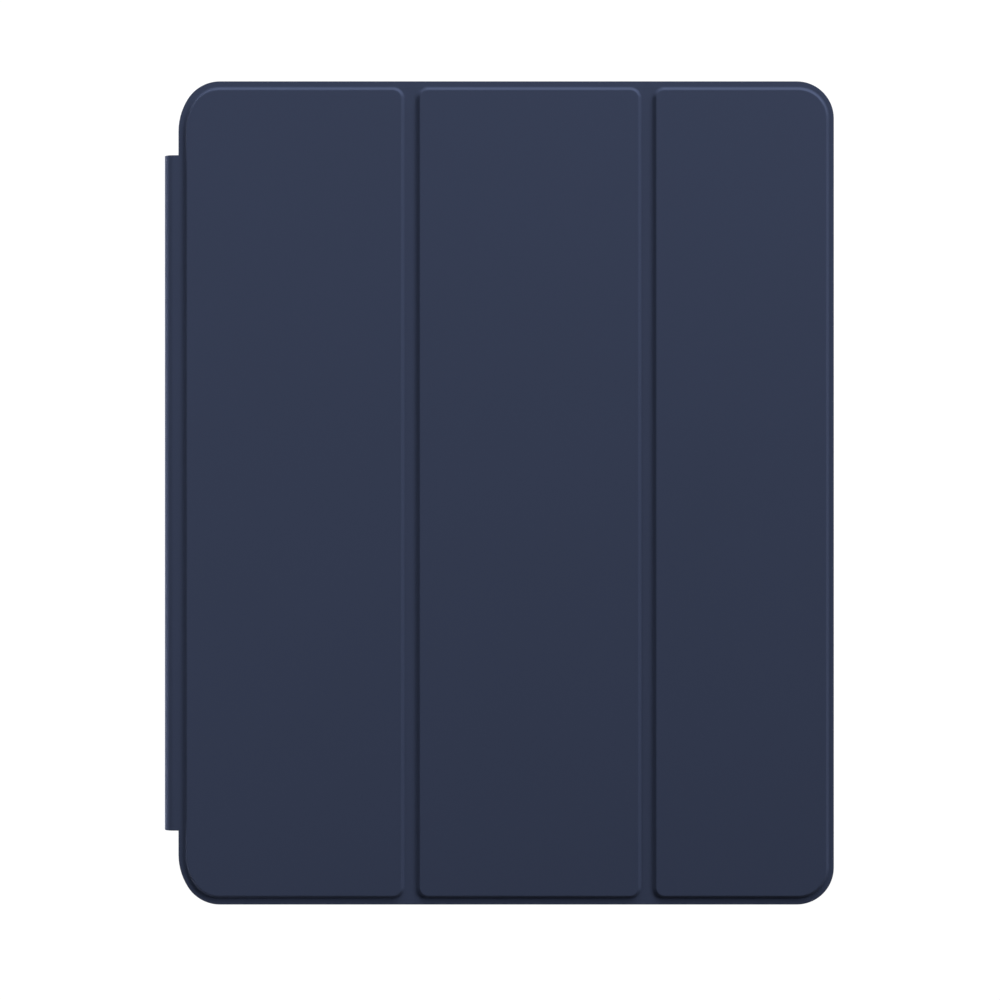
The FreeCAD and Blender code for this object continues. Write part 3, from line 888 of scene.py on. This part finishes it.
for side, upper, body in (("cover", True, "panel_1"), ("back", False, "back")):
    for name, layer in layers.items():
        node = f"{side}_bend_{name}"
        low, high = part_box(node)
        spineLow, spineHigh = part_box(f"spine_{name}")
        thickness = spineHigh.x - spineLow.x
        bend = finishMesh(buildBend(node, thickness, layer, upper),
                          f"{side}_bend_soft_{name}", layer["materials"])
        atSpine = (low.x + thickness / 2, 0, low.z if upper else high.z)
        atFlat = (high.x, 0, high.z - thickness / 2 if upper else low.z + thickness / 2)
        if upper:
            blendAlong(bend, node, atSpine, atFlat)
        else:
            blendAlong(bend, node, atFlat, atSpine)

for name, layer in layers.items():
    spine = finishMesh(buildSpine(f"spine_{name}", layer), f"spine_soft_{name}", layer["materials"])
    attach(spine, "spine")
    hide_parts(f"spine_{name}")
print("folds, bends and spine made")


# linings

def buildLining(outline, seams, window, low, high, rollLevel):
    # a sheet of microfibre, its cut edge a hair inside the skin's and softly rounded on the open side
    inset = strip["liningInset"] * mm
    drawn = dict(outline)
    for side, sign in (("left", 1), ("right", -1)):
        if not any(abs(outline[side] - seam) < samePlace for seam in seams):
            drawn[side] = outline[side] + sign * inset
    drawn["low"] = outline["low"] + inset
    drawn["high"] = outline["high"] - inset
    for side in ("leftCorner", "rightCorner"):
        corner = outline[side]
        if isinstance(corner, tuple):
            drawn[side] = tuple(part - inset for part in corner)
        elif corner is not None:
            drawn[side] = corner - inset
    bm = bmesh.new()
    loops = [loopEdges(bm, traceLoop(bm, drawn, low))]
    if window:
        loops.append(loopEdges(bm, traceLoop(bm, grown(window, inset), low)))
    thicken(bm, fillBetween(bm, *loops), high - low)
    rollEdges(bm, freeEdges(bm, rollLevel, seams), strip["liningRoll"], strip["liningSteps"])
    return bm


for index, number in enumerate((1, 2, 3)):
    outline, foot = plateOf(index)
    low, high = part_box(f"panel_{number}_lining")
    lining = finishMesh(buildLining(outline, seamsOf(index), None, low.z, high.z, low.z),
                        f"panel_{number}_soft_lining", [brushedMicrofibre])
    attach(lining, f"panel_{number}")
    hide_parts(f"panel_{number}_lining")
low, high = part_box("back_lining")
liningMesh = buildLining(backOutline, [place["bendStart"]], measureWindow(), low.z, high.z, high.z)
backLining = finishMesh(liningMesh, "back_soft_lining", [brushedMicrofibre])
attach(backLining, "back")
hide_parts("back_lining")
print("linings made")


# boards, films, magnets and steel inside

# edge is the radius in mm to which the sharp edges are eased
inserts = {
    "board": {"edge": 0.08, "material": glassLaminate, "slot": "stiff_board"},
    "film": {"edge": 0.03, "material": hotMeltFilm, "slot": "bonding_film"},
    "magnets": {"edge": 0.2, "material": nickelPlating, "slot": "magnet_plating"},
    "magnet": {"edge": 0.2, "material": nickelPlating, "slot": "magnet_plating"},
    "strip": {"edge": 0.1, "material": coldRolledSteel, "slot": "steel"},
}


eased = {"steps": 2, "flatWithin": 1.0}  # degrees that faces may turn and still be one flat


def easedCopy(node, edge):
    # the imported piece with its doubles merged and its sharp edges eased
    bm = bmesh.new()
    bm.from_mesh(frame["nodes"][node].data)
    bmesh.ops.remove_doubles(bm, verts=bm.verts, dist=samePlace)
    bmesh.ops.dissolve_limit(bm, angle_limit=math.radians(eased["flatWithin"]),
                             verts=bm.verts, edges=bm.edges)
    sharp = [item for item in bm.edges if item.calc_face_angle(0) > meshes["sharpTurn"]]
    bmesh.ops.bevel(bm, geom=sharp, offset=edge * mm, affect="EDGES", segments=eased["steps"], profile=0.5,
                    material=-1, clamp_overlap=True)
    return bm


for node, packed in frame["nodes"].items():
    kind = node.split("_")[-1]
    if kind in inserts:
        insert = inserts[kind]
        piece = finishMesh(easedCopy(node, insert["edge"]), f"{node}_eased", [insert["material"]], False)
        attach(piece, packed["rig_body"])
        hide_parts(node)
print("boards, films, magnets and steel made")
